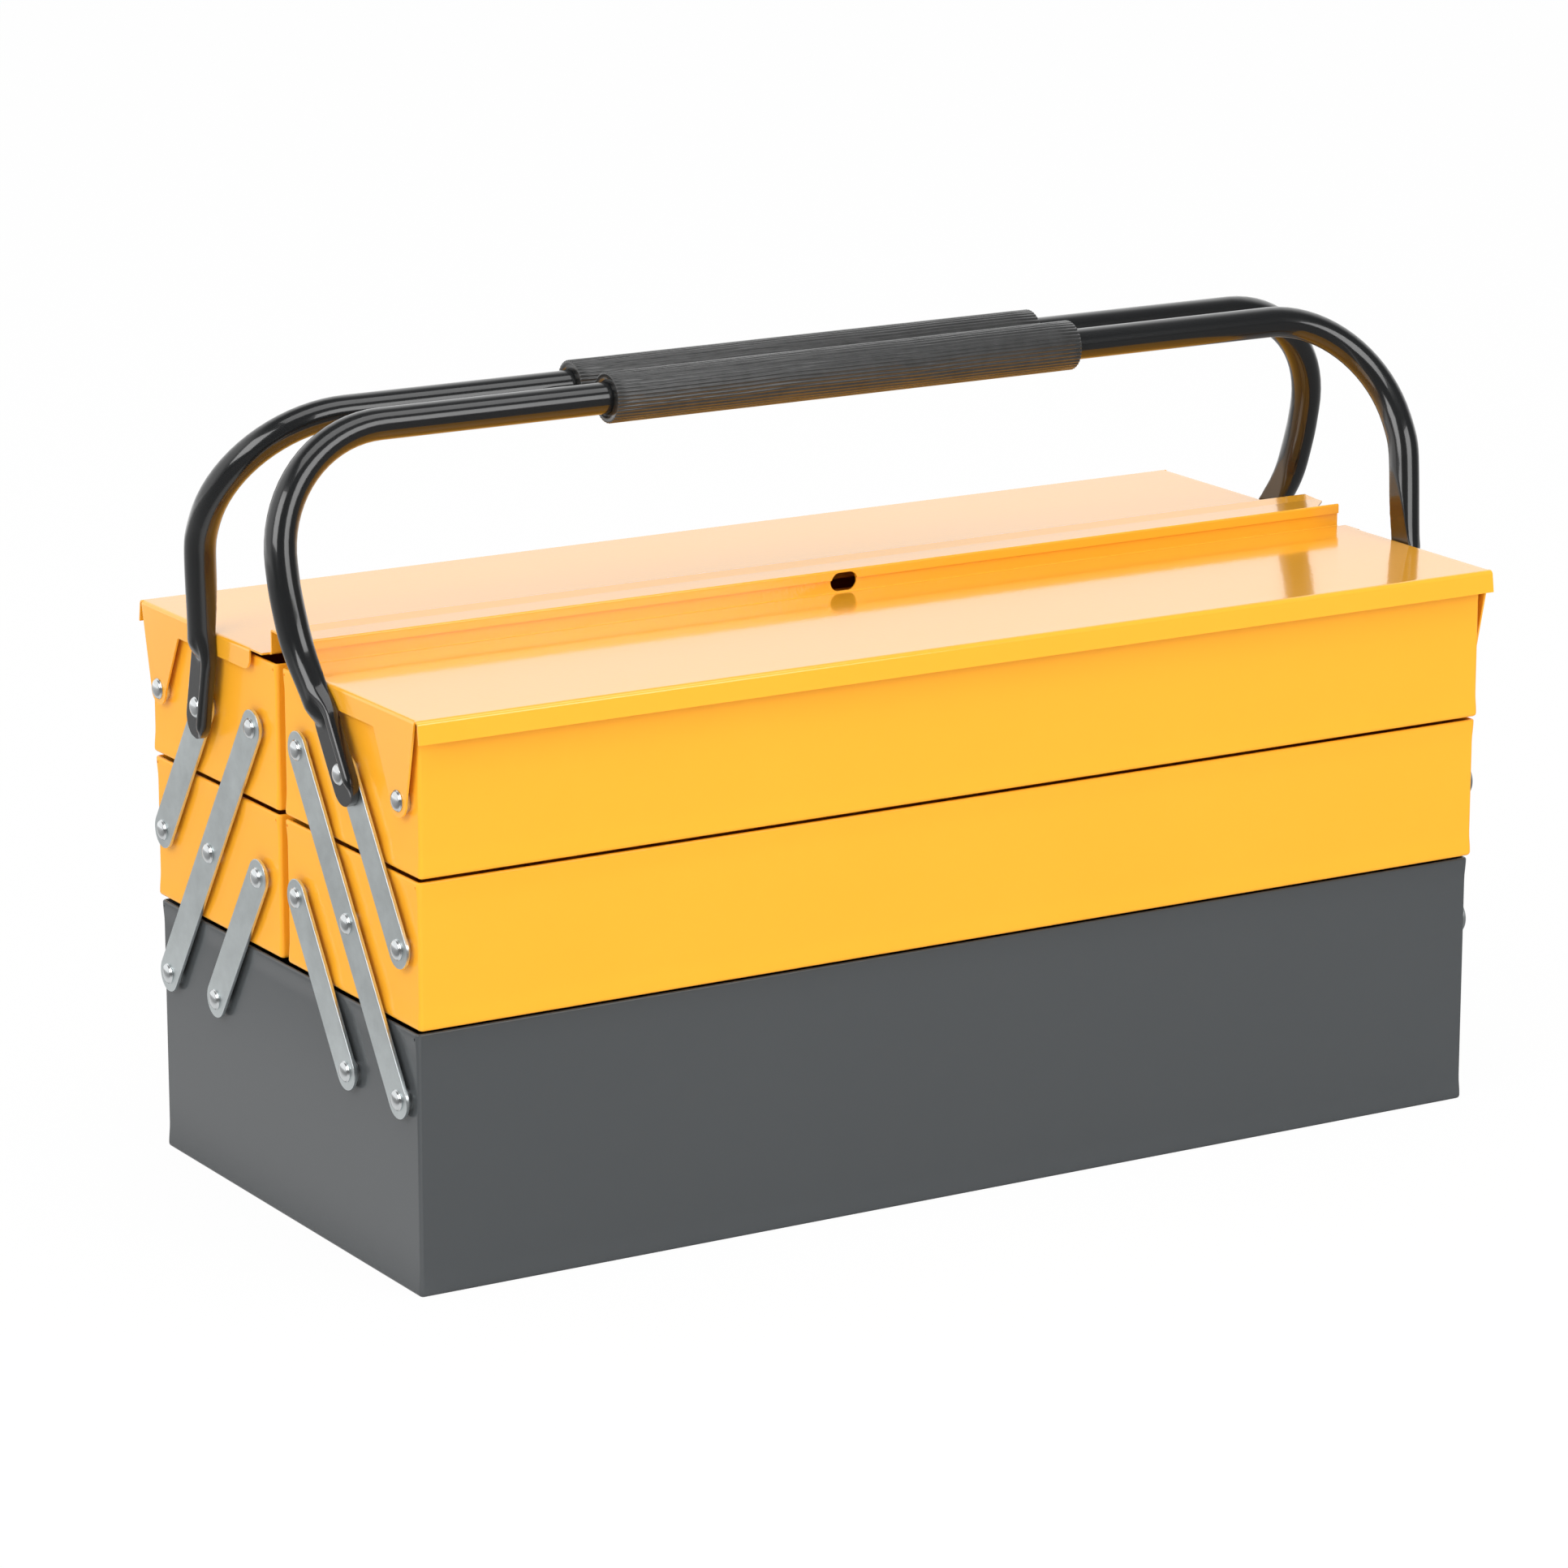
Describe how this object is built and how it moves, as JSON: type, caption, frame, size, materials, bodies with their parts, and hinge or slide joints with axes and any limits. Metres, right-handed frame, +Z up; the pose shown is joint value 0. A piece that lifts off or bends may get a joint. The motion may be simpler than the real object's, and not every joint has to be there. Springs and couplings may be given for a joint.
{
  "type": "cantilever tool box",
  "caption": "Sheet steel cantilever tool box: a deep base, stacked trays that swing out on flat links, hinged lids and paired tubular handles with rubber grips.",
  "frame": {"origin": "middle of the base's underside", "axes": "+X along the box to its right end, -Y to the front, +Z up, box closed"},
  "size_m": [0.529, 0.2418, 0.3302],
  "materials": {
    "base_paint": "satin dark grey powder coat",
    "tray_paint": "glossy amber powder coat",
    "lid_paint": "glossy amber powder coat",
    "handle_paint": "glossy black paint",
    "grip_rubber": "matt ribbed rubber",
    "link_zinc": "bright zinc plate",
    "rivet_zinc": "bright zinc plate",
    "washer_zinc": "zinc plate"
  },
  "bodies": {
    "base": {"base_tray": "base_paint", "base_rivets": "rivet_zinc", "base_washers": "washer_zinc"},
    "front_long_links": {"front_left_long_link": "link_zinc", "front_right_long_link": "link_zinc"},
    "front_short_links": {"front_left_short_link": "link_zinc", "front_right_short_link": "link_zinc"},
    "front_lower_tray": {"front_lower_tray": "tray_paint", "front_lower_tray_rivets": "rivet_zinc", "front_lower_tray_washers": "washer_zinc"},
    "front_upper_tray": {"front_upper_tray": "tray_paint", "front_upper_tray_rivets": "rivet_zinc", "front_upper_tray_washers": "washer_zinc", "front_lid_rivets": "rivet_zinc", "front_lid_washers": "washer_zinc"},
    "front_handle": {"front_handle": "handle_paint", "front_grip": "grip_rubber", "front_left_handle_link": "link_zinc", "front_right_handle_link": "link_zinc"},
    "front_lid": {"front_lid": "lid_paint"},
    "rear_long_links": {"rear_left_long_link": "link_zinc", "rear_right_long_link": "link_zinc"},
    "rear_short_links": {"rear_left_short_link": "link_zinc", "rear_right_short_link": "link_zinc"},
    "rear_lower_tray": {"rear_lower_tray": "tray_paint", "rear_lower_tray_rivets": "rivet_zinc", "rear_lower_tray_washers": "washer_zinc"},
    "rear_upper_tray": {"rear_upper_tray": "tray_paint", "rear_upper_tray_rivets": "rivet_zinc", "rear_upper_tray_washers": "washer_zinc", "rear_lid_rivets": "rivet_zinc", "rear_lid_washers": "washer_zinc"},
    "rear_handle": {"rear_handle": "handle_paint", "rear_grip": "grip_rubber", "rear_left_handle_link": "link_zinc", "rear_right_handle_link": "link_zinc"},
    "rear_lid": {"rear_lid": "lid_paint"}
  },
  "joints": [
    {"name": "front_open", "type": "hinge", "parent": "base", "child": "front_long_links", "pos_m": [0, -0.1, 0.0769], "axis": [1, 0, 0], "range_deg": [0, 67]},
    {"name": "front_short_link_swing", "type": "hinge", "parent": "base", "child": "front_short_links", "pos_m": [0, -0.057, 0.0769], "axis": [1, 0, 0], "range_deg": [0, 67]},
    {"name": "front_lower_tray_level", "type": "hinge", "parent": "front_long_links", "child": "front_lower_tray", "pos_m": [0, -0.06, 0.1369], "axis": [1, 0, 0], "range_deg": [-67, 0]},
    {"name": "front_upper_tray_level", "type": "hinge", "parent": "front_long_links", "child": "front_upper_tray", "pos_m": [0, -0.02, 0.1969], "axis": [1, 0, 0], "range_deg": [-67, 0]},
    {"name": "front_handle_swing", "type": "hinge", "parent": "front_lower_tray", "child": "front_handle", "pos_m": [0, -0.102, 0.1369], "axis": [1, 0, 0], "range_deg": [0, 67]},
    {"name": "front_lid_open", "type": "hinge", "parent": "front_upper_tray", "child": "front_lid", "pos_m": [0, -0.1035, 0.1954], "axis": [1, 0, 0], "range_deg": [0, 70]},
    {"name": "rear_open", "type": "hinge", "parent": "base", "child": "rear_long_links", "pos_m": [0, 0.1, 0.0769], "axis": [-1, 0, 0], "range_deg": [0, 67]},
    {"name": "rear_short_link_swing", "type": "hinge", "parent": "base", "child": "rear_short_links", "pos_m": [0, 0.057, 0.0769], "axis": [-1, 0, 0], "range_deg": [0, 67]},
    {"name": "rear_lower_tray_level", "type": "hinge", "parent": "rear_long_links", "child": "rear_lower_tray", "pos_m": [0, 0.06, 0.1369], "axis": [-1, 0, 0], "range_deg": [-67, 0]},
    {"name": "rear_upper_tray_level", "type": "hinge", "parent": "rear_long_links", "child": "rear_upper_tray", "pos_m": [0, 0.02, 0.1969], "axis": [-1, 0, 0], "range_deg": [-67, 0]},
    {"name": "rear_handle_swing", "type": "hinge", "parent": "rear_lower_tray", "child": "rear_handle", "pos_m": [0, 0.102, 0.1369], "axis": [-1, 0, 0], "range_deg": [0, 67]},
    {"name": "rear_lid_open", "type": "hinge", "parent": "rear_upper_tray", "child": "rear_lid", "pos_m": [0, 0.1035, 0.1954], "axis": [-1, 0, 0], "range_deg": [0, 70]}
  ],
  "couplings": [
    {"joint": "front_short_link_swing", "follows": "front_open", "ratio": 1},
    {"joint": "front_lower_tray_level", "follows": "front_open", "ratio": -1},
    {"joint": "front_upper_tray_level", "follows": "front_open", "ratio": -1},
    {"joint": "front_handle_swing", "follows": "front_open", "ratio": 1},
    {"joint": "rear_short_link_swing", "follows": "rear_open", "ratio": 1},
    {"joint": "rear_lower_tray_level", "follows": "rear_open", "ratio": -1},
    {"joint": "rear_upper_tray_level", "follows": "rear_open", "ratio": -1},
    {"joint": "rear_handle_swing", "follows": "rear_open", "ratio": 1}
  ]
}
